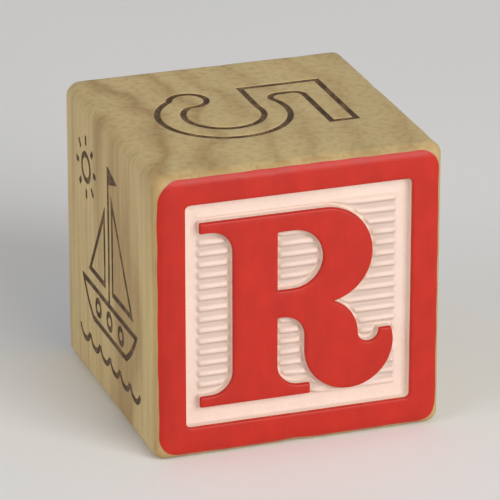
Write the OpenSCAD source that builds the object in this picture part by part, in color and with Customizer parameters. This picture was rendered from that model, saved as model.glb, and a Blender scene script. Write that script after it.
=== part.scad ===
/* [Block] */
// Width, depth and height of the finished cube
block_w = 30; // [28:0.5:40]
// Radius of the eased edges
edge_r = 1.3; // [0.9:0.1:2]

/* [Letter faces] */
// Width of the raised frame from the side of the cube to the window
frame_w = 3.3; // [2.6:0.1:3.8]
// Depth of the sunk ground below the frame and the letter
relief_d = 1; // [0.7:0.1:1.6]
// Radius of the window's corners
window_r = 0.5; // [0.3:0.1:1]
// Plain border of the ground between the window's edge and the ribs
border_w = 1.3; // [0.8:0.1:1.8]
// Distance from one rib of the ground to the next
rib_pitch = 1.15; // [1:0.05:1.6]
// Height of the ribs above the plain border
rib_h = 0.4; // [0.2:0.05:0.55]
// Width of a rib's flat top
rib_top_w = 0.3; // [0.2:0.02:0.4]
// Width of the flat valley between two coated ribs
rib_valley_w = 0.12; // [0.06:0.02:0.2]
// Thickness of the coloured coat on the frame and the letter
paint_t = 0.12; // [0.08:0.01:0.2]
// Width of the bare rim that the coloured coat leaves along the eased edges
paint_rim_w = 0.5; // [0.3:0.05:0.7]
// Radius of the coloured coat's outer corners
paint_corner_r = 2.2; // [1.2:0.1:3]
// Thickness of the pale coat on the ground
ground_t = 0.1; // [0.06:0.01:0.14]

/* [Letters] */
// Clear distance from the window's edge to the letter's top and foot
letter_gap = 2; // [1.7:0.1:2.6]
// Distance that the letter R stands left of the face's middle
letter_shift = 0.2; // [0:0.1:0.4]
// Width of the upright stem
stem_w = 4.6; // [4:0.1:4.8]
// Greatest width of the round strokes
bowl_w = 5.1; // [4.6:0.1:5.4]
// Thickness of the thin strokes
hair_w = 1.9; // [1.5:0.1:2.1]
// Distance from the stem's outer side to the far side of the bowl, of the letter's height
reach_share = 0.745; // [0.72:0.005:0.765]
// Height of the waist, where the bowl closes, of the letter's height
waist_share = 0.485; // [0.47:0.005:0.505]
// Thickness of a serif
serif_t = 1.1; // [0.8:0.1:1.3]
// Distance that a serif stands out from its stem
serif_w = 3; // [2.6:0.1:3.2]
// Further reach of the serif at the stem's head
head_serif_extra = 0.4; // [0:0.1:0.8]
// Radius of the hollow curve between a serif and its stem
bracket_r = 2.3; // [1.6:0.1:2.5]
// Distance from the stem's outer side to the leg of the R, of the letter's height
leg_share = 0.385; // [0.375:0.005:0.4]
// Greatest width of the leg of the R, of the letter's height
leg_w_share = 0.285; // [0.275:0.005:0.3]
// Width of the curl that ends the leg of the R, of the letter's height
curl_share = 0.475; // [0.465:0.005:0.485]
// Thickness of the curl's tip, of the letter's height
curl_tip_share = 0.075; // [0.06:0.005:0.085]
// Height above the foot where the leg of the R ends and its curl begins, of the letter's height
knee_share = 0.3; // [0.285:0.005:0.315]

/* [Stamped lines] */
// Width of a stamped line
line_w = 0.6; // [0.4:0.05:0.7]
// Depth of the groove that the stamp presses
stamp_d = 0.2; // [0.14:0.02:0.3]
// Distance from the wood's face down to the dried ink
ink_sink = 0.06; // [0.02:0.02:0.1]
// Height of a stamped digit
digit_h = 19.4; // [18:0.2:21]
// Width of a stamped digit
digit_w = 13.9; // [13:0.1:14.6]
// Width of a digit's hollow stroke
digit_stroke_w = 3.2; // [2.8:0.1:3.4]
// Radius of the ball that ends the 5
digit_ball_r = 2.2; // [2:0.1:2.4]
// Length of the flag on the 5
flag_len = 12.4; // [11:0.1:13]
// Clear height of the opening in the side of the 5
digit_gap_h = 3.6; // [3:0.1:4]
// Radius of the inner corners of a stamped digit
digit_ease_r = 0.8; // [0.3:0.1:1.2]
// Width and height of the field that holds a stamped picture
picture_w = 22.5; // [18:0.5:24]

/* [Hidden] */
$fn = 48;

// Overrun of every cutting solid past the face that it cuts
over = 0.5;
// Sides of a full turn where an inner corner is filled
ease_fn = 24;

half_w = block_w / 2;
window_w = block_w - 2 * frame_w;
paint_w = block_w - 2 * paint_rim_w;
field_w = window_w - 2 * border_w;
floor_d = relief_d + ground_t;
letter_h = window_w - 2 * letter_gap;
rib_base_w = rib_pitch - rib_valley_w - 2 * ground_t;
rib_count = floor((field_w - rib_base_w) / rib_pitch) + 1;
head_serif_w = serif_w + head_serif_extra;
bowl_reach = letter_h * reach_share;
waist_h = letter_h * waist_share;
leg_u = letter_h * leg_share;
leg_w = letter_h * leg_w_share;
curl_w = letter_h * curl_share;
curl_tip_w = letter_h * curl_tip_share;
knee_h = letter_h * knee_share;

// The eased cube and the places of its faces

module rounded_square(w, r) {
    square([w - 2 * r, w], center = true);
    square([w, w - 2 * r], center = true);
    for (u = [-1, 1], v = [-1, 1])
        translate([u * (w / 2 - r), v * (w / 2 - r)]) circle(r);
}

module eased_cube(w, r) {
    translate([0, 0, half_w]) intersection() {
        linear_extrude(w, center = true) rounded_square(w, r);
        rotate([90, 0, 0]) linear_extrude(w, center = true) rounded_square(w, r);
        rotate([0, 90, 0]) linear_extrude(w, center = true) rounded_square(w, r);
    }
}

// The whole block as bought, and the same with the thickness of the coat taken off all round
module finished_cube() { eased_cube(block_w, edge_r); }
module bare_cube() { eased_cube(block_w - 2 * paint_t, edge_r - paint_t); }

// Each of these stands a drawing on one face, with the face at z = 0 and the wood below it
module on_front() { translate([0, -half_w, half_w]) rotate([90, 0, 0]) children(); }
module on_back() { translate([0, half_w, half_w]) rotate([90, 0, 180]) children(); }
module on_left() { translate([-half_w, 0, half_w]) rotate([90, 0, -90]) children(); }
module on_right() { translate([half_w, 0, half_w]) rotate([90, 0, 90]) children(); }
module on_top() { translate([0, 0, block_w]) rotate([0, 0, -90]) children(); }
module on_bottom() { rotate([180, 0, 0]) children(); }

// The part of a drawing's prism between two depths below the face
module layer(from_d, to_d) {
    translate([0, 0, -to_d]) linear_extrude(to_d - from_d) children();
}

// The letters: the stem's outer side stands at u = 0 and the foot at v = 0

// Half a serif: it reaches along +u from the side of a stem, and its hollow curve rises along +v
module half_serif(reach) {
    square([reach, serif_t]);
    difference() {
        square(serif_t + bracket_r);
        translate([bracket_r, serif_t + bracket_r]) circle(bracket_r);
        translate([bracket_r, serif_t]) square(serif_t + bracket_r);
    }
}

module stem() {
    square([stem_w, letter_h]);
    translate([0, letter_h]) rotate(180) half_serif(head_serif_w);
    mirror([1, 0]) half_serif(serif_w);
}

// A round-ended area from the stem to a reach, between two heights
module round_end(from_v, to_v, reach) {
    r = (to_v - from_v) / 2;
    translate([stem_w / 2, from_v]) square([reach - r - stem_w / 2, 2 * r]);
    translate([reach - r, from_v + r]) circle(r);
}

// A bowl whose thin strokes leave the stem and swell to the full width at its side
module bowl(from_v, to_v, reach) {
    difference() {
        round_end(from_v, to_v, reach);
        round_end(from_v + hair_w, to_v - hair_w, reach - bowl_w);
    }
}

// The leg of the R falls from the waist and curls up to a thin tip
module leg() {
    fall_share = 0.12;
    crook_share = 0.8;
    rise_share = 0.1;
    curl_r = curl_w / 2;
    outer_u = leg_u + leg_w;
    fall_r = waist_h - knee_h + hair_w * fall_share;
    hollow_r = (leg_u + curl_w - curl_tip_w - outer_u) / 2;
    crook_r = (leg_u - stem_w) * crook_share;
    crook_top = waist_h - hair_w / 2;
    fall_w = leg_u + (fall_r - stem_w) / 2;
    fall_h = waist_h - knee_h + hair_w / 2;
    tip_v = knee_h + curl_tip_w * rise_share;
    // The curl, open at its upper right
    difference() {
        union() {
            translate([leg_u + curl_r, curl_r]) circle(curl_r);
            translate([leg_u, curl_r]) square([curl_r, knee_h - curl_r]);
        }
        translate([outer_u + hollow_r, knee_h]) circle(hollow_r);
        translate([outer_u, tip_v]) square(curl_w);
        translate([outer_u + hollow_r - curl_w, knee_h]) square([curl_w, curl_w]);
    }
    // The fall from the waist, with a hollow crook towards the stem
    difference() {
        union() {
            translate([outer_u - fall_r, knee_h]) circle(fall_r);
            translate([stem_w / 2, knee_h]) square([fall_w, fall_h]);
        }
        translate([0, -letter_h]) square([letter_h, letter_h + knee_h]);
        square([leg_u, crook_top - crook_r]);
        translate([leg_u - crook_r, crook_top - crook_r]) circle(crook_r);
        square([leg_u - crook_r, crook_top]);
    }
}

module letter_r() {
    translate([(head_serif_w - leg_u - curl_w) / 2 - letter_shift, -letter_h / 2]) {
        stem();
        translate([stem_w, 0]) half_serif(serif_w);
        bowl(waist_h, letter_h, bowl_reach);
        leg();
    }
}

module letter_b() {
    translate([(serif_w - bowl_reach) / 2, -letter_h / 2]) {
        stem();
        bowl(waist_h - hair_w / 2, letter_h, bowl_reach - hair_w / 2);
        bowl(0, waist_h + hair_w / 2, bowl_reach + hair_w / 2);
    }
}

// The letter faces

// Ribs across the ground that rise from a depth, with a coat of a thickness on their flanks
module ribs(from_d, coat_t) {
    foot = rib_base_w / 2 + coat_t;
    top = rib_top_w / 2 + coat_t;
    for (i = [0 : rib_count - 1])
        translate([0, (i - (rib_count - 1) / 2) * rib_pitch, 0])
            rotate([90, 0, 90]) linear_extrude(field_w + 2 * coat_t, center = true) polygon([
                [-foot, -from_d - over], [foot, -from_d - over], [foot, -from_d],
                [top, -from_d + rib_h], [-top, -from_d + rib_h], [-foot, -from_d]
            ]);
}

module window() { rounded_square(window_w, window_r); }

// The room that is pressed into the wood round a letter, down to the bare ribs
module ground_room() {
    difference() {
        layer(-over, floor_d) difference() {
            window();
            children();
        }
        ribs(floor_d, 0);
    }
}

// The room over the bare wood of one letter face, as far as the coloured coat reaches
module coat_room(face_y) {
    difference() {
        translate([0, face_y, half_w]) rotate([90, 0, 0])
            linear_extrude(2 * edge_r, center = true) rounded_square(paint_w, paint_corner_r);
        bare_cube();
    }
}

module frame_paint(face_y) {
    difference() {
        intersection() {
            finished_cube();
            coat_room(face_y);
        }
        translate([0, face_y, half_w]) rotate([90, 0, 0])
            linear_extrude(2 * relief_d, center = true) window();
    }
}

module letter_paint() { layer(0, paint_t) children(); }

module ground_paint() {
    difference() {
        ground_room() children();
        difference() {
            translate([0, 0, -relief_d]) linear_extrude(relief_d + 2 * over)
                square(window_w + over, center = true);
            ribs(relief_d, ground_t);
        }
    }
}

// The stamped faces: u = 0 and v = 0 are the drawing's middle

// The line along the edge of a shape, just inside it
module drawn() {
    difference() {
        children();
        offset(delta = -line_w) children();
    }
}

// A shape with its inner corners filled to a radius
module eased_in(r) { offset(r = -r, $fn = ease_fn) offset(delta = r) children(); }

// A straight line between two points
module ruled(a, b) {
    d = b - a;
    translate(a) rotate(atan2(d[1], d[0])) translate([0, -line_w / 2]) square([norm(d), line_w]);
}

// A piece of a round line between two angles under 180 degrees apart
module arc_line(r, from_a, to_a) {
    far = 3 * r;
    intersection() {
        difference() {
            circle(r);
            circle(r - line_w);
        }
        polygon([
            [0, 0],
            far * [cos(from_a), sin(from_a)],
            far * [cos((from_a + to_a) / 2), sin((from_a + to_a) / 2)],
            far * [cos(to_a), sin(to_a)]
        ]);
    }
}

module digit_five() {
    r = digit_w / 2;
    mid_r = r - digit_stroke_w / 2;
    ball_a = 204;
    ball = [r + mid_r * cos(ball_a), r + mid_r * sin(ball_a)];
    gap_top = ball[1] + digit_ball_r + digit_gap_h;
    translate([-r, -digit_h / 2]) eased_in(digit_ease_r) {
        difference() {
            translate([r, r]) circle(r);
            translate([r, r]) circle(r - digit_stroke_w);
            translate([-over, ball[1]]) square([r + over, gap_top - ball[1]]);
        }
        translate(ball) circle(digit_ball_r);
        translate([0, gap_top]) square([digit_stroke_w, digit_h - gap_top]);
        translate([0, digit_h - digit_stroke_w]) square([flag_len, digit_stroke_w]);
    }
}

module digit_eight() {
    low_r = digit_w / 2 - digit_stroke_w / 4;
    high_r = (digit_h + digit_stroke_w) / 2 - low_r;
    eased_in(digit_ease_r) difference() {
        union() {
            translate([0, low_r - digit_h / 2]) circle(low_r);
            translate([0, digit_h / 2 - high_r]) circle(high_r);
        }
        translate([0, low_r - digit_h / 2]) circle(low_r - digit_stroke_w);
        translate([0, digit_h / 2 - high_r]) circle(high_r - digit_stroke_w);
    }
}

// A boat with two sails under a small sun, on a row of waves
module boat_lines() {
    p = picture_w;
    main_sail_share = [[0.04, 0.37], [0.04, -0.12], [0.36, -0.12]];
    fore_sail_share = [[-0.05, 0.28], [-0.05, -0.12], [-0.31, -0.12]];
    pennant_share = [[0.01, 0.48], [0.01, 0.4], [0.14, 0.44]];
    hull_top_share = -0.17;
    hull_foot_share = -0.35;
    hull_r_share = 0.47;
    hull_rise_share = 0.05;
    hole_r_share = 0.035;
    hole_step_share = 0.17;
    wave_r_share = 0.075;
    wave_v_share = -0.41;
    waves = 6;
    sun_r_share = 0.075;
    sun_share = [-0.33, 0.36];
    rays = 8;
    drawn() polygon(p * main_sail_share);
    drawn() polygon(p * fore_sail_share);
    drawn() polygon(p * pennant_share);
    ruled(p * [0, hull_top_share], p * [0, pennant_share[0][1]]);
    drawn() intersection() {
        translate([0, p * hull_rise_share]) circle(p * hull_r_share);
        translate([-p / 2, p * hull_foot_share]) square([p, p * (hull_top_share - hull_foot_share)]);
    }
    for (i = [-1, 0, 1])
        translate(p * [i * hole_step_share, (hull_top_share + hull_foot_share) / 2])
            drawn() circle(p * hole_r_share + line_w / 2);
    for (i = [0 : waves - 1])
        translate(p * [(2 * i - waves + 1) * wave_r_share, wave_v_share])
            arc_line(p * wave_r_share + line_w / 2, 200, 340);
    translate(p * sun_share) {
        drawn() circle(p * sun_r_share);
        for (i = [0 : rays - 1])
            rotate(i * 360 / rays) ruled(p * [1.4 * sun_r_share, 0], p * [2 * sun_r_share, 0]);
    }
}

// An apple with a stalk, a veined leaf and a curved glint
module apple_lines() {
    p = picture_w;
    lobe_r_share = 0.24;
    lobe_share = [0.17, -0.04];
    foot_r_share = 0.16;
    foot_share = [0.12, -0.26];
    ease_share = 0.04;
    stalk_r_share = 0.3;
    stalk_share = [0.31, 0.14];
    leaf_r_share = 0.26;
    leaf_share = [0.2, 0.33];
    leaf_half_share = 0.17;
    glint_r_share = 0.19;
    leaf_a = 24;
    drawn() eased_in(p * ease_share) for (side = [-1, 1]) hull() {
        translate(p * [side * lobe_share[0], lobe_share[1]]) circle(p * lobe_r_share);
        translate(p * [side * foot_share[0], foot_share[1]]) circle(p * foot_r_share);
    }
    translate(p * stalk_share) arc_line(p * stalk_r_share + line_w / 2, 126, 184);
    translate(p * leaf_share) rotate(leaf_a) {
        rise = sqrt(pow(leaf_r_share, 2) - pow(leaf_half_share, 2));
        drawn() intersection() {
            translate([0, -p * rise]) circle(p * leaf_r_share);
            translate([0, p * rise]) circle(p * leaf_r_share);
        }
        ruled(p * [-leaf_half_share, 0], p * [leaf_half_share / 2, 0]);
    }
    translate(p * [-lobe_share[0], lobe_share[1]]) arc_line(p * glint_r_share, 110, 190);
}

module groove() { layer(-over, stamp_d) children(); }
module ink() { layer(ink_sink, stamp_d) children(); }

// The pieces

module wood_block() {
    color("burlywood") difference() {
        finished_cube();
        coat_room(-half_w);
        coat_room(half_w);
        on_front() ground_room() letter_r();
        on_back() ground_room() letter_b();
        on_top() groove() drawn() digit_five();
        on_bottom() groove() drawn() digit_eight();
        on_left() groove() boat_lines();
        on_right() groove() apple_lines();
    }
}

module frame_paint_front() { color("firebrick") frame_paint(-half_w); }
module letter_paint_front() { color("firebrick") on_front() letter_paint() letter_r(); }
module ground_paint_front() { color("linen") on_front() ground_paint() letter_r(); }
module frame_paint_back() { color("steelblue") frame_paint(half_w); }
module letter_paint_back() { color("steelblue") on_back() letter_paint() letter_b(); }
module ground_paint_back() { color("linen") on_back() ground_paint() letter_b(); }
module digit_ink_top() { color("saddlebrown") on_top() ink() drawn() digit_five(); }
module digit_ink_bottom() { color("saddlebrown") on_bottom() ink() drawn() digit_eight(); }
module picture_ink_left() { color("saddlebrown") on_left() ink() boat_lines(); }
module picture_ink_right() { color("saddlebrown") on_right() ink() apple_lines(); }

wood_block();
frame_paint_front();
letter_paint_front();
ground_paint_front();
frame_paint_back();
letter_paint_back();
ground_paint_back();
digit_ink_top();
digit_ink_bottom();
picture_ink_left();
picture_ink_right();
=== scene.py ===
"""A wooden alphabet block: a painted relief letter on two sides and stamped drawings on the other four."""

import math

import bmesh
import bpy
import numpy as np
from bpy.props import FloatProperty, FloatVectorProperty, IntProperty, PointerProperty
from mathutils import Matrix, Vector, noise
from mathutils.geometry import delaunay_2d_cdt


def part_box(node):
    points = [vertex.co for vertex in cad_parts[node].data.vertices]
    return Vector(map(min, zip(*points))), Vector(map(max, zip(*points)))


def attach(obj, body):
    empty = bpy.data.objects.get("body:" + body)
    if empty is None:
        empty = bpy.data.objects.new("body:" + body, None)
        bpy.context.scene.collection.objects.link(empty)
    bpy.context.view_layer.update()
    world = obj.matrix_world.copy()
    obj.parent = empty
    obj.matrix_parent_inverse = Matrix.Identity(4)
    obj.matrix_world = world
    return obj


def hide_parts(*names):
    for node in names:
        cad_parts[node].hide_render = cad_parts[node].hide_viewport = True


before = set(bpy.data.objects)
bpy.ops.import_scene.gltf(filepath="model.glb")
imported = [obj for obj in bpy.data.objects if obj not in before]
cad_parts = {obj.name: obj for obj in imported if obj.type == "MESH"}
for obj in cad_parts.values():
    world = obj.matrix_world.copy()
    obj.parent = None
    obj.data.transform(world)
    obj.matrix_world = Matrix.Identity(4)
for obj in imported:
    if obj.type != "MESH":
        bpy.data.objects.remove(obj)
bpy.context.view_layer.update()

bl_info = {
    "name": "Alphabet Block",
    "version": (1, 0, 0),
    "blender": (4, 5, 0),
    "location": "3D View > Sidebar > Alphabet Block",
    "description": "Builds the wood, the coats and the stamped inks of a painted letter block",
    "category": "Add Mesh",
}

MM = 0.001
BODY = "root"
# Points this close are one: in a side's flat plan, and where two sides of the block meet
MERGE_D = 0.0005 * MM
WELD_D = 0.0004 * MM
# An edge between two triangles that bends more than this isn't shaded smooth
CREASE = math.radians(50)
BLOCK_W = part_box("wood_block")[1].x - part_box("wood_block")[0].x
WINDOW_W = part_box("ground_paint_front")[1].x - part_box("ground_paint_front")[0].x
COAT_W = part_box("frame_paint_front")[1].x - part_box("frame_paint_front")[0].x


# The sizes and colours that a user would change

def length(name, description, default):
    return FloatProperty(name=name, description=description, default=default, min=0,
                         unit="LENGTH", subtype="DISTANCE")


def colour(name, description, default):
    return FloatVectorProperty(name=name, description=description, default=default, min=0, max=1,
                               size=3, subtype="COLOR")


class WoodSizes(bpy.types.PropertyGroup):
    edge_r: length("Edge radius", "Radius of the eased edges", 1.3 * MM)
    grid: length("Grid", "Distance between the points of a plain stretch", 0.75 * MM)
    bends: IntProperty(name="Bends", description="Strips round half of an eased edge",
                       default=6, min=3, max=12)
    bare_d: length("Bare depth", "Distance that bare wood lies below a coat's surface", 0.03 * MM)
    swell: length("Swell", "Greatest hollow of the hand-sanded faces", 0.035 * MM)
    swell_w: length("Swell width", "Distance between two hollows", 7 * MM)
    knocks: IntProperty(name="Knocks", description="Small knocks along the edges",
                        default=26, min=0, max=80)
    knock_d: length("Knock depth", "Depth of a small knock", 0.07 * MM)
    knock_r: length("Knock radius", "Radius of a small knock", 0.8 * MM)
    knock_seed: IntProperty(name="Knock seed", description="Number that picks where the knocks lie",
                            default=7, min=0)


class ReliefSizes(bpy.types.PropertyGroup):
    window_r: length("Window corner", "Radius of the window's corners", 0.5 * MM)
    relief_d: length("Relief depth", "Depth of the sunk ground", 1.0 * MM)
    corner_r: length("Corner radius", "Radius of the letter's sharp corners", 0.16 * MM)
    step: length("Step", "Distance between the points of an outline", 0.3 * MM)
    ribs: IntProperty(name="Ribs", description="Number of ribs on the ground", default=18, min=1, max=24)
    rib_pitch: length("Rib pitch", "Distance from one rib to the next", 1.15 * MM)
    rib_h: length("Rib height", "Height of a rib", 0.4 * MM)
    rib_w: length("Rib width", "Width of a rib at its foot", 1.04 * MM)
    rib_len: length("Rib length", "Length of the ribs across the window", 20.8 * MM)
    rib_end: length("Rib end", "Distance over which a rib rises from the plain ground", 0.35 * MM)
    rib_step: length("Rib step", "Distance between the points along a rib", 1.2 * MM)
    coat_t: length("Coat thickness", "Thickness of a coat of paint", 0.09 * MM)
    coat_w: length("Coat width", "Width of the frame's coat, over the eased edges", COAT_W)
    coat_corner_r: length("Coat corner", "Radius of the coat's outer corners", 2.2 * MM)
    waver: length("Waver", "How far the coat's edge wavers on the rounding", 0.1 * MM)
    waver_w: length("Waver width", "Distance over which the coat's edge wavers", 3 * MM)
    lip_wear_w: length("Lip wear", "Distance from a lip over which its wear fades", 0.16 * MM)


class StampSizes(bpy.types.PropertyGroup):
    stamp_d: length("Stamp depth", "Depth of a stamped line", 0.2 * MM)
    corner_r: length("Corner radius", "Radius of a drawing's sharp corners", 0.1 * MM)
    step: length("Step", "Distance between the points of an outline", 0.3 * MM)
    clear_d: length("Clearance", "Distance that the grid's points keep from the drawing", 0.45 * MM)
    ink_t: length("Ink thickness", "Thickness of the dried ink", 0.03 * MM)


class Colours(bpy.types.PropertyGroup):
    red: colour("Red", "Enamel on the front frame and letter", (0.46, 0.015, 0.005))
    blue: colour("Blue", "Enamel on the back frame and letter", (0.022, 0.12, 0.40))
    pale: colour("Pale", "Matt coat on the sunk ground", (0.76, 0.595, 0.505))
    early_wood: colour("Early wood", "Wood between two dark bands", (0.645, 0.49, 0.23))
    late_wood: colour("Late wood", "Wood of the dark bands", (0.43, 0.28, 0.112))
    ink: colour("Ink", "Fresh stamping ink", (0.070, 0.034, 0.012))
    thin_ink: colour("Thin ink", "Ink where the stamp pressed lightly", (0.24, 0.145, 0.060))


class StageSettings(bpy.types.PropertyGroup):
    azimuth: FloatProperty(name="Azimuth", description="Camera's turn from the front, towards +X",
                           default=math.radians(-19), unit="ROTATION", subtype="ANGLE")
    elevation: FloatProperty(name="Elevation", description="Camera's height above the horizon",
                             default=math.radians(22), unit="ROTATION", subtype="ANGLE")
    distance: length("Distance", "Distance from the camera to the block's middle", 0.42)
    view_w: length("View width", "Width that the picture spans at the block", 0.0505)
    key_w: FloatProperty(name="Key light", description="Power of the large front light",
                         default=5.2, unit="POWER")
    key_size: length("Key size", "Width of the front light", 0.55)
    fill_w: FloatProperty(name="Fill light", description="Power of the left light",
                          default=1.6, unit="POWER")
    fill_size: length("Fill size", "Width of the left light", 0.5)
    light_d: length("Light distance", "Distance from a light to the block's middle", 0.8)
    sky: FloatProperty(name="Room light", description="Brightness of the room", default=0.36, min=0)
    floor: colour("Floor", "Plain pale floor", (0.90, 0.89, 0.87))
    floor_w: length("Floor width", "Width of the plain floor", 3)


class AlphabetBlock(bpy.types.PropertyGroup):
    wood: PointerProperty(type=WoodSizes)
    relief: PointerProperty(type=ReliefSizes)
    stamp: PointerProperty(type=StampSizes)
    colours: PointerProperty(type=Colours)
    stage: PointerProperty(type=StageSettings)


def settings():
    return bpy.context.scene.alphabet_block


# The six sides and the surface of the block

class Side:
    """A side of the block, seen from outside: u runs to the right of its drawing and v runs up."""

    def __init__(self, u, v):
        self.u = np.array(u, float)
        self.v = np.array(v, float)
        self.out = np.cross(self.u, self.v)


SIDES = {
    "front": Side((1, 0, 0), (0, 0, 1)),
    "back": Side((-1, 0, 0), (0, 0, 1)),
    "left": Side((0, -1, 0), (0, 0, 1)),
    "right": Side((0, 1, 0), (0, 0, 1)),
    "top": Side((0, -1, 0), (1, 0, 0)),
    "bottom": Side((1, 0, 0), (0, -1, 0)),
}
# The CAD nodes whose outlines are a side's letter or drawing
LETTERED = {"front": "letter_paint_front", "back": "letter_paint_back"}
STAMPED = {
    "top": "digit_ink_top",
    "bottom": "digit_ink_bottom",
    "left": "picture_ink_left",
    "right": "picture_ink_right",
}
MIDDLE = np.array((0, 0, BLOCK_W / 2))
# The ways from the block's middle to the front light and to the left one
KEY_TOWARD = Vector((0.34, -0.92, 0.42))
FILL_TOWARD = Vector((-1.0, -0.35, 0.5))


def on_block(side, uv, depth):
    """The places of flat points on a side, wrapped over the eased edges, at a depth below the surface."""
    edge_r = settings().wood.edge_r
    flat = BLOCK_W / 2 - edge_r
    held = np.clip(uv, -flat, flat)
    lean = np.tan((uv - held) / edge_r)
    toward = np.column_stack((lean, np.ones(len(uv))))
    toward /= np.linalg.norm(toward, axis=1)[:, None]
    local = np.column_stack((held, np.full(len(uv), flat)))
    local += (edge_r - np.asarray(depth)).reshape(-1, 1) * toward
    return MIDDLE + local @ np.array((side.u, side.v, side.out))


def knock_places():
    """Where the small knocks lie: points spread along the twelve eased edges."""
    wood = settings().wood
    draw = np.random.default_rng(wood.knock_seed)
    half = BLOCK_W / 2 - wood.edge_r * (1 - math.sqrt(0.5))
    places = draw.uniform(-half, half, (wood.knocks, 3))
    for place, along in zip(places, draw.integers(0, 3, len(places))):
        for axis in range(3):
            if axis != along:
                place[axis] = math.copysign(half, place[axis])
    return places + MIDDLE


def worn_depth(places):
    """How far sanding and use have lowered the surface at each place."""
    wood = settings().wood
    soft = np.array([noise.noise(Vector(p) / wood.swell_w) for p in places])
    depth = wood.swell * np.clip(0.5 + 0.6 * soft, 0, 1)
    for knock in knock_places():
        gap = np.linalg.norm(places - knock, axis=1) / wood.knock_r
        depth += wood.knock_d * np.exp(-gap ** 2)
    return depth


# Outlines, their distances and the flat plans made of them

def outline_loops(node, side):
    """The outlines of the flat face that a CAD node turns to a side, with the filled part on their left."""
    same_place = 0.001 * MM
    same_level = 0.01 * MM
    mesh = bmesh.new()
    mesh.from_mesh(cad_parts[node].data)
    bmesh.ops.remove_doubles(mesh, verts=mesh.verts, dist=same_place)
    out = Vector(side.out)
    level = max(v.co.dot(out) for v in mesh.verts)
    for face in mesh.faces:
        face.tag = all(level - v.co.dot(out) < same_level for v in face.verts)
    following = {}
    for face in mesh.faces:
        for corner in face.loops:
            beside = [f.tag for f in corner.edge.link_faces if f != face]
            if face.tag and not any(beside):
                following[corner.vert] = corner.link_loop_next.vert
    loops = []
    while following:
        vert = next(iter(following))
        places = []
        while vert in following:
            places.append(vert.co - Vector(MIDDLE))
            vert = following.pop(vert)
        loops.append(np.array([(p.dot(Vector(side.u)), p.dot(Vector(side.v))) for p in places]))
    mesh.free()
    return loops


def rounded_square(width, radius):
    """The outline of a square with round corners, anticlockwise."""
    reach = width / 2 - radius
    arc_points = 7
    points = []
    for quarter, (x, y) in enumerate(((1, 1), (-1, 1), (-1, -1), (1, -1))):
        for turn in np.linspace(0, math.pi / 2, arc_points) + quarter * math.pi / 2:
            points.append((x * reach + radius * math.cos(turn), y * reach + radius * math.sin(turn)))
    return np.array(points)


def turn_angles(loop):
    """How sharply an outline turns at each point, in radians."""
    back = loop - np.roll(loop, 1, axis=0)
    ahead = np.roll(loop, -1, axis=0) - loop
    turn = np.arctan2(ahead[:, 1], ahead[:, 0]) - np.arctan2(back[:, 1], back[:, 0])
    return (turn + math.pi) % (2 * math.pi) - math.pi


def with_round_corners(loop, radius):
    """The outline with a small arc at each sharp corner."""
    sharp = math.radians(32)
    steepest = math.radians(149)
    longest_cut = 0.42
    arc_points = 6
    points = []
    turns = turn_angles(loop)
    for i, corner in enumerate(loop):
        if abs(turns[i]) < sharp:
            points.append(corner)
            continue
        back = loop[i - 1] - corner
        ahead = loop[(i + 1) % len(loop)] - corner
        back_len = np.linalg.norm(back)
        ahead_len = np.linalg.norm(ahead)
        cut = radius * math.tan(min(abs(turns[i]), steepest) / 2)
        cut = min(cut, longest_cut * back_len, longest_cut * ahead_len)
        start = corner + back / back_len * cut
        end = corner + ahead / ahead_len * cut
        for t in np.linspace(0, 1, arc_points):
            points.append((1 - t) ** 2 * start + 2 * t * (1 - t) * corner + t ** 2 * end)
    return np.array(points)


def smoothed(loop, step):
    """The outline with more points, on smooth curves where it bends and straight where it doesn't."""
    spare_share = 0.2
    ahead = np.roll(loop, -1, axis=0) - loop
    lengths = np.linalg.norm(ahead, axis=1)
    tangents = ahead + np.roll(ahead, 1, axis=0)
    tangents /= np.maximum(np.linalg.norm(tangents, axis=1), 1e-12)[:, None]
    points = []
    for i, (start, run) in enumerate(zip(loop, lengths)):
        end = loop[(i + 1) % len(loop)]
        leave = tangents[i] * run
        arrive = tangents[(i + 1) % len(loop)] * run
        count = max(1, math.ceil(run / step - spare_share))
        for t in np.arange(count) / count:
            points.append((2 * t ** 3 - 3 * t ** 2 + 1) * start + (t ** 3 - 2 * t ** 2 + t) * leave
                          + (3 * t ** 2 - 2 * t ** 3) * end + (t ** 3 - t ** 2) * arrive)
    return np.array(points)


def inside(points, loops):
    """Whether each point lies inside the outlines: it does where an odd number of them goes round it."""
    odd = np.zeros(len(points), bool)
    for loop in loops:
        ends = np.roll(loop, -1, axis=0)
        for (ax, ay), (bx, by) in zip(loop, ends):
            if ay != by:
                crosses = (points[:, 1] < ay) != (points[:, 1] < by)
                odd ^= crosses & (points[:, 0] < ax + (points[:, 1] - ay) * (bx - ax) / (by - ay))
    return odd


def distance_in(points, loops):
    """The distance from each point to the outlines, positive inside and negative outside."""
    starts = np.concatenate(loops)
    runs = np.concatenate([np.roll(loop, -1, axis=0) for loop in loops]) - starts
    squares = np.maximum((runs ** 2).sum(axis=1), 1e-20)
    nearest = np.empty(len(points))
    batch = 1000
    for first in range(0, len(points), batch):
        away = points[first:first + batch, None] - starts
        along = np.clip((away * runs).sum(axis=2) / squares, 0, 1)
        gaps = np.linalg.norm(away - along[..., None] * runs, axis=2)
        nearest[first:first + batch] = gaps.min(axis=1)
    return np.where(inside(points, loops), nearest, -nearest)


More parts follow.
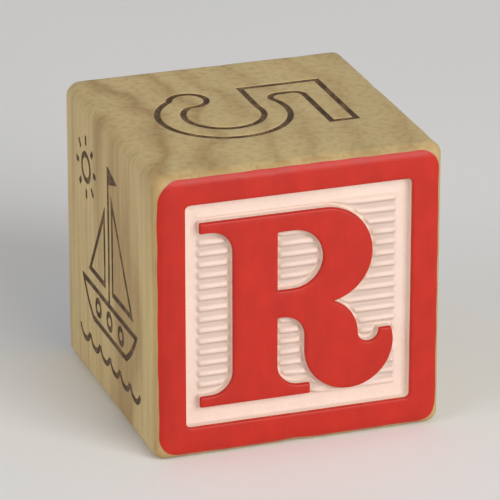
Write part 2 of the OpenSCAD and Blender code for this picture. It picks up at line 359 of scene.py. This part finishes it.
def contours(loops, distance):
    """Lines along the outlines at a distance, positive inside, without the stretches that would cross."""
    nearest = 0.97 * abs(distance)
    lines = []
    for loop in loops:
        ahead = np.roll(loop, -1, axis=0) - loop
        ahead /= np.linalg.norm(ahead, axis=1)[:, None]
        tangent = ahead + np.roll(ahead, 1, axis=0)
        inward = np.column_stack((-tangent[:, 1], tangent[:, 0]))
        moved = loop + inward * 2 * distance / np.maximum((tangent ** 2).sum(axis=1), 2)[:, None]
        if distance:
            moved = moved[np.abs(distance_in(moved, loops)) > nearest]
        lines.append(moved)
    return [line for line in lines if len(line) > 2]


class Plan:
    """The points and lines that a side's flat mesh is made of, and then its triangles."""

    def __init__(self, reach):
        self.reach = reach
        self.points = []
        self.edges = []

    def line(self, points, closed=True):
        """A line through the points."""
        first = len(self.points)
        count = len(points)
        runs = count if closed else count - 1
        self.points += [Vector(p) for p in points]
        self.edges += [(first + i, first + (i + 1) % count) for i in range(runs)]

    def contour(self, loops, distance, longest):
        """Lines along the outlines at a distance, broken where a stretch would be longer than the longest."""
        for points in contours(loops, distance):
            first = len(self.points)
            self.points += [Vector(p) for p in points]
            for i, point in enumerate(points):
                following = (i + 1) % len(points)
                if np.linalg.norm(points[following] - point) < longest:
                    self.edges.append((first + i, first + following))

    def grid(self, marks, keep_clear, clear_d):
        """Points where the marks cross, away from the outlines."""
        u, v = np.meshgrid(marks, marks)
        points = np.column_stack((u.ravel(), v.ravel()))
        on_rim = np.abs(points).max(axis=1) > self.reach - MERGE_D
        clear = np.abs(distance_in(points, keep_clear)) > clear_d
        self.points += [Vector(p) for p in points[on_rim | clear]]

    def triangles(self):
        """The flat mesh, as points and rows of three corners."""
        points, _, faces, *_ = delaunay_2d_cdt(self.points, self.edges, [], 0, MERGE_D)
        return np.array([tuple(p) for p in points]), np.array([f for f in faces if len(f) == 3])


def grid_marks():
    """Where the grid's lines lie: evenly on the flat part, then by angle round the eased edges."""
    wood = settings().wood
    flat = BLOCK_W / 2 - wood.edge_r
    count = round(flat / wood.grid)
    bend = wood.edge_r * math.pi / 4 / wood.bends
    half = np.concatenate((np.arange(count) * flat / count, flat + np.arange(wood.bends + 1) * bend))
    return np.concatenate((-half[:0:-1], half))


def profile(distance, knots):
    """A height read off a row of (distance, height) pairs."""
    where, height = zip(*knots)
    return np.interp(distance, where, height)


class Surface:
    """One side of the finished block as a flat triangle mesh with the place of every point.

    Its edge values tell the paints where wear or shade goes. Its parts are the outlines of its coats or ink.
    """

    def __init__(self, side, uv, faces, depth, edge, parts):
        self.side = side
        self.uv = uv
        self.faces = faces
        self.centres = uv[faces].mean(axis=1)
        self.depth = depth + worn_depth(on_block(side, uv, 0))
        self.edge = edge
        self.parts = parts
        self.places = on_block(side, uv, self.depth)

    def lowered(self, distance):
        return on_block(self.side, self.uv, self.depth + distance)

    def shrunk(self, distance):
        """The places moved into the material, square to the surface."""
        a, b, c = (self.places[self.faces[:, i]] for i in range(3))
        across = np.cross(b - a, c - a)
        normals = np.zeros_like(self.places)
        for i in range(3):
            np.add.at(normals, self.faces[:, i], across)
        normals /= np.maximum(np.linalg.norm(normals, axis=1), 1e-20)[:, None]
        return self.places - normals * distance


# The wall of a raised part, from the ground up: distance inside its outline and share of the relief's depth
WALL_KNOTS = ((-0.17, -1.0), (-0.115, -0.965), (-0.08, -0.85), (-0.03, -0.34), (0.0, -0.15),
              (0.04, -0.075), (0.10, -0.025), (0.19, 0.0))
# Where the letter's coat meets the ground's, inside the outline, and how worn the lips are
LIP_D = -0.03 * MM
LIP_WEAR = 0.55
# A stamped line, from the wood beside it to its middle: distance inside its outline and share of its depth
GROOVE_KNOTS = ((-0.16, 0.0), (-0.07, 0.06), (0.0, 0.30), (0.07, 0.66), (0.15, 0.9), (0.23, 1.0))
# Half of a rib, from its top to its foot: share of its half width and share of its height
RIB_KNOTS = ((0.0, 1.0), (0.2, 0.98), (0.42, 0.82), (0.62, 0.42), (0.82, 0.1), (1.0, 0.0))


def in_mm(knots, height=1.0):
    return [(distance * MM, share * height) for distance, share in knots]


def rib_marks():
    """The middle of each rib, up the window."""
    relief = settings().relief
    return (np.arange(relief.ribs) - (relief.ribs - 1) / 2) * relief.rib_pitch


def rib_share(v):
    """How much of a rib's height the ground has at each height of the window."""
    gap = np.abs(v[:, None] - rib_marks()).min(axis=1)
    return profile(gap / (settings().relief.rib_w / 2), RIB_KNOTS)


def rib_presence(uv, in_letter):
    """How fully the ribs stand there: 0 past their ends, 1 along their length and smooth between."""
    relief = settings().relief
    from_border = relief.rib_len / 2 - np.abs(uv[:, 0])
    from_letter = WALL_KNOTS[0][0] * MM - in_letter
    ease = np.clip(np.minimum(from_border, from_letter) / relief.rib_end, 0, 1)
    return ease * ease * (3 - 2 * ease)


def rib_spans(v, letter_foot):
    """The stretches of a rib's line that the letter leaves free."""
    half_len = settings().relief.rib_len / 2
    crossings = [-half_len, half_len]
    for loop in letter_foot:
        ends = np.roll(loop, -1, axis=0)
        for (ax, ay), (bx, by) in zip(loop, ends):
            if (ay < v) != (by < v):
                crossings.append(ax + (v - ay) * (bx - ax) / (by - ay))
    crossings.sort()
    return list(zip(crossings[::2], crossings[1::2]))


def draw_ribs(plan, letter):
    """The lines along the ribs, with more points where a rib rises from the plain ground."""
    relief = settings().relief
    letter_foot = contours(letter, WALL_KNOTS[0][0] * MM)
    for middle in rib_marks():
        for distance, _ in RIB_KNOTS:
            for v in {middle - distance * relief.rib_w / 2, middle + distance * relief.rib_w / 2}:
                for start, end in rib_spans(v, letter_foot):
                    ease = min(relief.rib_end, (end - start) / 3)
                    ramp = np.linspace(0, ease, 4)
                    count = max(2, round((end - start) / relief.rib_step))
                    level = np.linspace(start + ease, end - ease, count)[1:-1]
                    along = np.concatenate((start + ramp, level, end - ramp[::-1]))
                    plan.line([(u, v) for u in along], closed=False)


def wrap_loop(side):
    """The wavering edge of the frame's coat, as flat points that lie past the flat part of the side."""
    relief = settings().relief
    edge_r = settings().wood.edge_r
    flat = BLOCK_W / 2 - edge_r
    seen = smoothed(rounded_square(relief.coat_w, relief.coat_corner_r), relief.step)
    places = seen @ np.array((side.u, side.v)) + side.out * BLOCK_W / 2
    soft = np.array([noise.noise(Vector(p) / relief.waver_w) for p in places])
    seen *= (1 + relief.waver * soft / (relief.coat_w / 2))[:, None]
    held = np.clip(seen, -flat, flat)
    lean = (seen - held) / edge_r
    rise = np.sqrt(1 - (lean ** 2).sum(axis=1))
    return held + edge_r * np.arctan(lean / rise[:, None])


def enamel_wear(uv, height, in_letter, in_window):
    """How worn the enamel is: along the lips of the relief and over the eased edges."""
    relief = settings().relief
    edge_r = settings().wood.edge_r
    lip_foot = -0.6 * relief.relief_d
    over_edge = np.clip((np.abs(uv).max(axis=1) - (BLOCK_W / 2 - edge_r)) / edge_r, 0, 1)
    lip = LIP_WEAR * np.exp(-(np.maximum(in_letter, -in_window) / relief.lip_wear_w) ** 2)
    return np.maximum(np.where(height > lip_foot, lip, 0), over_edge)


def lettered_surface(name):
    """A lettered side: the frame, the sunk ribbed ground and the letter, with the outlines of their coats."""
    relief = settings().relief
    side = SIDES[name]
    letter = [smoothed(with_round_corners(loop, relief.corner_r), relief.step)
              for loop in outline_loops(LETTERED[name], side)]
    window = [smoothed(rounded_square(WINDOW_W, relief.window_r), 2 * relief.step)]
    wrap = wrap_loop(side)
    marks = grid_marks()
    plan = Plan(marks[-1])
    plan.line(wrap)
    for distance, _ in in_mm(WALL_KNOTS):
        plan.contour(letter, distance, 4 * relief.step)
        plan.contour(window, -distance, 8 * relief.step)
    draw_ribs(plan, letter)
    plan.grid(marks, letter + window, 0)
    uv, faces = plan.triangles()
    in_letter = distance_in(uv, letter)
    in_window = distance_in(uv, window)
    rib = rib_share(uv[:, 1])
    presence = rib_presence(uv, in_letter)
    walls = in_mm(WALL_KNOTS, relief.relief_d)
    height = np.maximum(profile(in_letter, walls), profile(-in_window, walls))
    height = np.maximum(height, relief.rib_h * rib * presence - relief.relief_d)
    # Painted shade: on the ground the edge value is low in the valleys between the ribs and 1 on their tops
    # and the plain border
    painted_valley_shade = presence * (1 - rib) * (np.abs(uv[:, 1]) < rib_marks()[-1])
    on_ground = (in_window > 0) & (in_letter < LIP_D)
    edge = np.where(on_ground, 1 - painted_valley_shade, enamel_wear(uv, height, in_letter, in_window))
    window_lip = contours(window, -LIP_D)
    letter_lip = contours(letter, LIP_D)
    parts = {"frame": [wrap] + window_lip, "ground": window_lip + letter_lip, "letter": letter_lip}
    return Surface(side, uv, faces, -height, edge, parts)


def stamped_surface(name):
    """A stamped side: bare wood with the grooves of a drawing."""
    stamp = settings().stamp
    side = SIDES[name]
    drawing = [smoothed(with_round_corners(loop, stamp.corner_r), stamp.step)
               for loop in outline_loops(STAMPED[name], side)]
    marks = grid_marks()
    plan = Plan(marks[-1])
    for distance, _ in in_mm(GROOVE_KNOTS):
        plan.contour(drawing, distance, 4 * stamp.step)
    plan.grid(marks, drawing, stamp.clear_d)
    uv, faces = plan.triangles()
    depth = profile(distance_in(uv, drawing), in_mm(GROOVE_KNOTS, stamp.stamp_d))
    return Surface(side, uv, faces, depth, depth / stamp.stamp_d, {"ink": drawing})


made_surfaces = {}


def surface_of(name):
    """The finished surface of a side, worked out once for all the pieces that lie on it."""
    if name not in made_surfaces:
        made_surfaces[name] = lettered_surface(name) if name in LETTERED else stamped_surface(name)
    return made_surfaces[name]


# Meshes

def add_piece(name, places, faces, edge, material, slot, node):
    """A mesh piece that rides on the block and stands for a CAD node."""
    mesh = bpy.data.meshes.new(name)
    mesh.from_pydata(places.tolist(), [], [tuple(f) for f in faces])
    mesh.update()
    mesh.shade_smooth()
    mesh.set_sharp_from_angle(angle=CREASE)
    edge_values = mesh.attributes.new("edge", "FLOAT", "POINT").data
    edge_values.foreach_set("value", np.asarray(edge, np.float32))
    mesh.materials.append(material)
    piece = bpy.data.objects.new(name, mesh)
    bpy.context.scene.collection.objects.link(piece)
    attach(piece, BODY)
    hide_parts(node)


def skin(surface, faces, outer, inner):
    """A closed skin over some of a surface's triangles, between an outer and an inner copy of its points."""
    used, faces = np.unique(faces, return_inverse=True)
    faces = faces.reshape(-1, 3)
    count = len(used)
    edges = {(a, b) for face in faces.tolist() for a, b in zip(face, face[1:] + face[:1])}
    rim = [(b, a, a + count, b + count) for a, b in sorted(edges) if (b, a) not in edges]
    places = np.concatenate((outer[used], inner[used]))
    edge = np.tile(surface.edge[used], 2)
    return places, faces.tolist() + (faces[:, ::-1] + count).tolist() + rim, edge


def part_of(surface, part):
    """The surface's triangles that lie inside a part's outlines."""
    return surface.faces[inside(surface.centres, surface.parts[part])]


# Procedural materials

class Value:
    """A shader value: a sum or product of such values adds the Math nodes that work it out."""

    def __init__(self, paint, socket):
        self.paint = paint
        self.socket = socket

    def __add__(self, other):
        return self.paint.maths("ADD", self, other)

    def __sub__(self, other):
        return self.paint.maths("SUBTRACT", self, other)

    def __rsub__(self, other):
        return self.paint.maths("SUBTRACT", other, self)

    def __mul__(self, other):
        return self.paint.maths("MULTIPLY", self, other)

    __radd__ = __add__
    __rmul__ = __mul__


class Paint:
    """A procedural material with one Principled shader."""

    def __init__(self, name, constants=None):
        self.material = bpy.data.materials.new(name)
        self.material.use_nodes = True
        self.tree = self.material.node_tree
        self.tree.nodes.clear()
        self.shader = self.tree.nodes.new("ShaderNodeBsdfPrincipled")
        output = self.tree.nodes.new("ShaderNodeOutputMaterial")
        self.tree.links.new(self.shader.outputs["BSDF"], output.inputs["Surface"])
        for socket, value in (constants or {}).items():
            self.shader.inputs[socket].default_value = value
        place = self.add("ShaderNodeTexCoord", {}, {}, "Object")
        self.place_mm = self.scaled(place, 1 / MM)

    def add(self, kind, choices, inputs, output=0):
        """A node of any kind: its choices are set first, then the values or links of its sockets."""
        node = self.tree.nodes.new(kind)
        for name, value in choices.items():
            if name == "stops":
                for place, tone in value[len(node.color_ramp.elements):]:
                    node.color_ramp.elements.new(place)
                for stop, (place, tone) in zip(node.color_ramp.elements, value):
                    stop.position = place
                    stop.color = (tone, tone, tone, 1)
            else:
                setattr(node, name, value)
        for name, value in inputs.items():
            if isinstance(value, Value):
                self.tree.links.new(value.socket, node.inputs[name])
            else:
                node.inputs[name].default_value = value
        return Value(self, node.outputs[output])

    def maths(self, operation, *values):
        return self.add("ShaderNodeMath", {"operation": operation}, dict(enumerate(values)))

    def stretched(self, x, y, z):
        """The place in millimetres, scaled along each axis."""
        factors = {0: self.place_mm, 1: (x, y, z)}
        return self.add("ShaderNodeVectorMath", {"operation": "MULTIPLY"}, factors)

    def noise(self, vector, detail=2.0, roughness=0.5):
        return self.add("ShaderNodeTexNoise", {"normalize": True}, {
            "Vector": vector, "Scale": 1.0, "Detail": detail, "Roughness": roughness})

    def edge(self):
        """The mesh's own edge value."""
        return self.add("ShaderNodeAttribute", {"attribute_name": "edge"}, {}, "Fac")

    def between(self, value, low, high):
        """0 below low, 1 above high and smooth between."""
        return self.add("ShaderNodeMapRange", {"interpolation_type": "SMOOTHSTEP"}, {
            "Value": value, "From Min": low, "From Max": high, "To Min": 0.0, "To Max": 1.0})

    def mix(self, mask, one, other):
        """A colour between two: the first where the mask is 0, the second where it is 1."""
        def tone(c):
            return c if isinstance(c, Value) else (*c, 1)
        # A Mix node has sockets for each type of data: these are the ones for colours
        inputs = {0: mask, 6: tone(one), 7: tone(other)}
        return self.add("ShaderNodeMix", {"data_type": "RGBA"}, inputs, 2)

    def scaled(self, base, amount):
        """A colour or a place times a number."""
        base = base if isinstance(base, Value) else tuple(base)
        return self.add("ShaderNodeVectorMath", {"operation": "SCALE"}, {0: base, "Scale": amount})

    def bump(self, height, distance):
        return self.add("ShaderNodeBump", {}, {"Height": height, "Distance": distance, "Strength": 1.0})

    def finish(self, links):
        """The material, once the shader's sockets have their values."""
        for name, value in links.items():
            self.tree.links.new(value.socket, self.shader.inputs[name])
        return self.material


def growth(paint):
    """The dark bands of the growth rings, which fade away from the heart, and the fine vertical fibres."""
    heart = (-75.0, 3.0, 0.0)
    ring_w = 5.2
    fade_start = 64.0
    fade_end = 78.0
    drift = paint.add("ShaderNodeTexNoise", {"normalize": False}, {
        "Vector": paint.stretched(0.09, 0.09, 0.02), "Scale": 1.0, "Detail": 2.0}, 1)
    moved = paint.add("ShaderNodeVectorMath", {"operation": "MULTIPLY_ADD"}, {
        0: drift, 1: (3.2, 3.2, 0.0), 2: paint.stretched(1, 1, 0)})
    out = paint.add("ShaderNodeVectorMath", {"operation": "DISTANCE"}, {0: moved, 1: heart}, "Value")
    ring = paint.maths("FRACT", out * (1 / ring_w) + 0.5)
    bands = paint.add("ShaderNodeValToRGB", {"stops": (
        (0.0, 0.35), (0.12, 0.08), (0.4, 0.1), (0.6, 0.45), (0.84, 1.0), (1.0, 0.35))}, {0: ring})
    bands = bands * (1 - paint.between(out, fade_start, fade_end) * 0.55)
    fibres = paint.noise(paint.stretched(6.5, 6.5, 0.22), detail=5.0, roughness=0.62)
    return bands, fibres


def rim_painted_shade(paint):
    """Painted shade on the eased edges beside the coats: 0 where an edge starts to bend and 1 near the coat.
    """
    bend = settings().wood.edge_r / MM
    clean = BLOCK_W / 2 / MM - bend
    across = paint.add("ShaderNodeSeparateXYZ", {}, {0: paint.place_mm}, "Y")
    return paint.between(paint.maths("ABSOLUTE", across), clean, clean + bend * 0.7)


def wood_paint():
    """Bare sanded hardwood with upright fibres: streaks on the sides and end grain on the top and bottom."""
    tones = settings().colours
    paint = Paint("sanded_wood")
    bands, fibres = growth(paint)
    streaks = paint.between(paint.noise(paint.stretched(1.3, 1.3, 0.035), detail=3.0), 0.42, 0.72)
    pores = paint.noise(paint.stretched(9, 9, 0.5), detail=2.0, roughness=0.7)
    pores = paint.between(pores, 0.62, 0.72)
    patches = paint.noise(paint.stretched(0.11, 0.11, 0.06), detail=1.0)
    # The eased edges beside the coats are pulled towards the dark wood tone: painted shade
    dark = bands * 0.92 + streaks * 0.42 + rim_painted_shade(paint) * 0.7
    base = paint.mix(dark, tones.early_wood, tones.late_wood)
    shade = (0.83 + fibres * 0.34) * (1 - pores * 0.22) * (0.88 + patches * 0.24)
    relief = fibres * 0.7 + bands * 0.12 - pores * 0.9
    return paint.finish({
        "Base Color": paint.scaled(base, shade),
        "Roughness": 0.5 + fibres * 0.22,
        "Normal": paint.bump(relief, 0.022 * MM),
    })


def enamel(name, tone):
    """A satin enamel coat, thin over the wood's grain and rubbed thin along the edges."""
    paint = Paint(name, {"Specular IOR Level": 0.32})
    bands, fibres = growth(paint)
    mottle = paint.noise(paint.stretched(0.55, 0.55, 0.4), detail=3.0)
    peel = paint.noise(paint.stretched(2.6, 2.6, 2.6), detail=2.0)
    chips = paint.noise(paint.stretched(1.9, 1.9, 1.1), detail=4.0, roughness=0.65)
    thin = paint.between(paint.edge() * 0.8 + chips * 0.55, 0.80, 1.35)
    shade = (0.80 + mottle * 0.36) * (1.03 - bands * 0.10) * (0.92 + fibres * 0.16)
    relief = peel * 0.5 + fibres * 0.55 - bands * 0.1
    return paint.finish({
        "Base Color": paint.mix(thin * 0.24, paint.scaled(tone, shade), settings().colours.early_wood),
        "Roughness": 0.34 + mottle * 0.16 + thin * 0.15,
        "Normal": paint.bump(relief, 0.02 * MM),
    })


def pale_paint():
    """A matt off-white coat, with painted shade that darkens the valleys between the ribs."""
    paint = Paint("matt_pale_coat")
    cloud = paint.noise(paint.stretched(0.3, 0.3, 0.5), detail=3.0)
    speck = paint.noise(paint.stretched(3.5, 3.5, 3.5), detail=3.0)
    # The edge value paints shade into the valleys between the ribs
    shade = (0.92 + cloud * 0.12) * (0.75 + paint.edge() * 0.27) * (0.96 + speck * 0.08)
    return paint.finish({
        "Base Color": paint.scaled(settings().colours.pale, shade),
        "Roughness": 0.5 + speck * 0.2,
        "Normal": paint.bump(speck, 0.015 * MM),
    })


def ink_paint():
    """Dried brown stamping ink, thin where the stamp pressed lightly."""
    tones = settings().colours
    paint = Paint("stamped_ink")
    pressed = paint.noise(paint.stretched(0.5, 0.5, 0.5), detail=3.0, roughness=0.6)
    grain = paint.noise(paint.stretched(5.5, 5.5, 1.6), detail=3.0, roughness=0.65)
    thin = paint.between(pressed * 0.7 + grain * 0.6, 0.56, 0.86)
    return paint.finish({
        "Base Color": paint.mix(thin, tones.ink, tones.thin_ink),
        "Roughness": 0.5 + grain * 0.25,
        "Normal": paint.bump(grain, 0.02 * MM),
    })


def floor_paint(tone):
    """A plain pale floor, a little cloudy."""
    paint = Paint("pale_floor", {"Roughness": 0.7})
    cloud = paint.noise(paint.stretched(0.02, 0.02, 0.02), detail=2.0)
    return paint.finish({"Base Color": paint.scaled(tone, 0.97 + cloud * 0.06)})


# Operators, one for each group of like pieces

class MakeWood(bpy.types.Operator):
    """Build the solid wooden cube with its sunk grounds, its letters' cores and its stamped grooves"""
    bl_idname = "alphabet_block.make_wood"
    bl_label = "Wooden cube"

    def execute(self, context):
        # The sizes may have changed since the block was last built
        made_surfaces.clear()
        bare_d = settings().wood.bare_d
        mesh = bmesh.new()
        edge_layer = mesh.verts.layers.float.new("edge")
        for name in SIDES:
            surface = surface_of(name)
            verts = [mesh.verts.new(p) for p in surface.lowered(bare_d)]
            for vert, edge in zip(verts, surface.edge):
                vert[edge_layer] = edge
            for a, b, c in surface.faces:
                mesh.faces.new((verts[a], verts[b], verts[c]))
        bmesh.ops.remove_doubles(mesh, verts=mesh.verts, dist=WELD_D)
        mesh.verts.index_update()
        places = np.array([v.co for v in mesh.verts])
        edge = [v[edge_layer] for v in mesh.verts]
        faces = [[v.index for v in f.verts] for f in mesh.faces]
        mesh.free()
        add_piece("wooden_cube", places, faces, edge, wood_paint(), "wood", "wood_block")
        return {"FINISHED"}


class MakeCoats(bpy.types.Operator):
    """Paint the frames, the letters and the sunk grounds of the two lettered sides"""
    bl_idname = "alphabet_block.make_coats"
    bl_label = "Coats of paint"

    def execute(self, context):
        tones = settings().colours
        coats = {
            "front": (enamel("red_enamel", tones.red), "red", "red_paint"),
            "back": (enamel("blue_enamel", tones.blue), "blue", "blue_paint"),
        }
        pale = pale_paint()
        for name, (material, word, slot) in coats.items():
            surface = surface_of(name)
            inner = surface.shrunk(settings().relief.coat_t)
            for part in ("frame", "letter", "ground"):
                made = skin(surface, part_of(surface, part), surface.places, inner)
                if part == "ground":
                    add_piece(f"pale_ground_{name}", *made, pale, "pale_paint", f"ground_paint_{name}")
                else:
                    add_piece(f"{word}_{part}_coat", *made, material, slot, f"{part}_paint_{name}")
        return {"FINISHED"}


class MakeInks(bpy.types.Operator):
    """Fill the stamped grooves of the other four sides with ink"""
    bl_idname = "alphabet_block.make_inks"
    bl_label = "Stamped inks"

    def execute(self, context):
        middle_d = settings().wood.bare_d
        half_t = settings().stamp.ink_t / 2
        drawings = {"top": "five", "bottom": "eight", "left": "boat", "right": "apple"}
        ink = ink_paint()
        for name, drawing in drawings.items():
            surface = surface_of(name)
            outer = surface.lowered(middle_d - half_t)
            inner = surface.lowered(middle_d + half_t)
            made = skin(surface, part_of(surface, "ink"), outer, inner)
            add_piece(f"stamped_{drawing}", *made, ink, "brown_ink", STAMPED[name])
        return {"FINISHED"}


class SetStage(bpy.types.Operator):
    """Set the pale floor, the studio lights and the camera"""
    bl_idname = "alphabet_block.set_stage"
    bl_label = "Stage"

    def execute(self, context):
        stage = settings().stage
        self.lay_floor(stage)
        middle = Vector(MIDDLE)
        self.hang_light("key_light", middle + KEY_TOWARD.normalized() * stage.light_d, middle,
                        stage.key_size, stage.key_w)
        self.hang_light("fill_light", middle + FILL_TOWARD.normalized() * stage.light_d, middle,
                        stage.fill_size, stage.fill_w)
        world = bpy.data.worlds.new("studio")
        world.use_nodes = True
        world.node_tree.nodes["Background"].inputs["Color"].default_value = (1, 1, 1, 1)
        world.node_tree.nodes["Background"].inputs["Strength"].default_value = stage.sky
        context.scene.world = world
        context.scene.view_settings.view_transform = "Standard"
        self.set_camera(context.scene, stage, middle)
        return {"FINISHED"}

    def lay_floor(self, stage):
        half = stage.floor_w / 2
        corners = [(-half, -half, 0), (half, -half, 0), (half, half, 0), (-half, half, 0)]
        mesh = bpy.data.meshes.new("floor")
        mesh.from_pydata(corners, [], [(0, 1, 2, 3)])
        mesh.materials.append(floor_paint(stage.floor))
        floor = bpy.data.objects.new("floor", mesh)
        bpy.context.scene.collection.objects.link(floor)

    def hang_light(self, name, place, middle, size, power):
        light = bpy.data.lights.new(name, "AREA")
        light.shape = "SQUARE"
        light.size = size
        light.energy = power
        lamp = bpy.data.objects.new(name, light)
        lamp.location = place
        lamp.rotation_euler = (place - middle).to_track_quat("Z", "Y").to_euler()
        bpy.context.scene.collection.objects.link(lamp)

    def set_camera(self, scene, stage, middle):
        back = Vector((
            math.sin(stage.azimuth) * math.cos(stage.elevation),
            -math.cos(stage.azimuth) * math.cos(stage.elevation),
            math.sin(stage.elevation),
        ))
        view = bpy.data.cameras.new("camera")
        view.lens = view.sensor_width * stage.distance / stage.view_w
        view.clip_start = 0.01
        camera = bpy.data.objects.new("camera", view)
        camera.location = middle + back * stage.distance
        camera.rotation_euler = back.to_track_quat("Z", "Y").to_euler()
        scene.collection.objects.link(camera)
        scene.camera = camera


class BlockPanel(bpy.types.Panel):
    """The steps that build the block, in order"""
    bl_idname = "VIEW3D_PT_alphabet_block"
    bl_label = "Alphabet Block"
    bl_space_type = "VIEW_3D"
    bl_region_type = "UI"
    bl_category = "Alphabet Block"

    def draw(self, context):
        block = context.scene.alphabet_block
        for step in STEPS:
            self.layout.operator(step.bl_idname)
        for group in (block.wood, block.relief, block.stamp, block.colours, block.stage):
            box = self.layout.box()
            for name in group.__annotations__:
                box.prop(group, name)


STEPS = (MakeWood, MakeCoats, MakeInks, SetStage)
CLASSES = (WoodSizes, ReliefSizes, StampSizes, Colours, StageSettings, AlphabetBlock, *STEPS, BlockPanel)


def register():
    for kind in CLASSES:
        bpy.utils.register_class(kind)
    bpy.types.Scene.alphabet_block = PointerProperty(type=AlphabetBlock)


def unregister():
    del bpy.types.Scene.alphabet_block
    for kind in reversed(CLASSES):
        bpy.utils.unregister_class(kind)


def main():
    register()
    bpy.ops.alphabet_block.make_wood()
    bpy.ops.alphabet_block.make_coats()
    bpy.ops.alphabet_block.make_inks()
    bpy.ops.alphabet_block.set_stage()


if __name__ == "__main__":
    main()
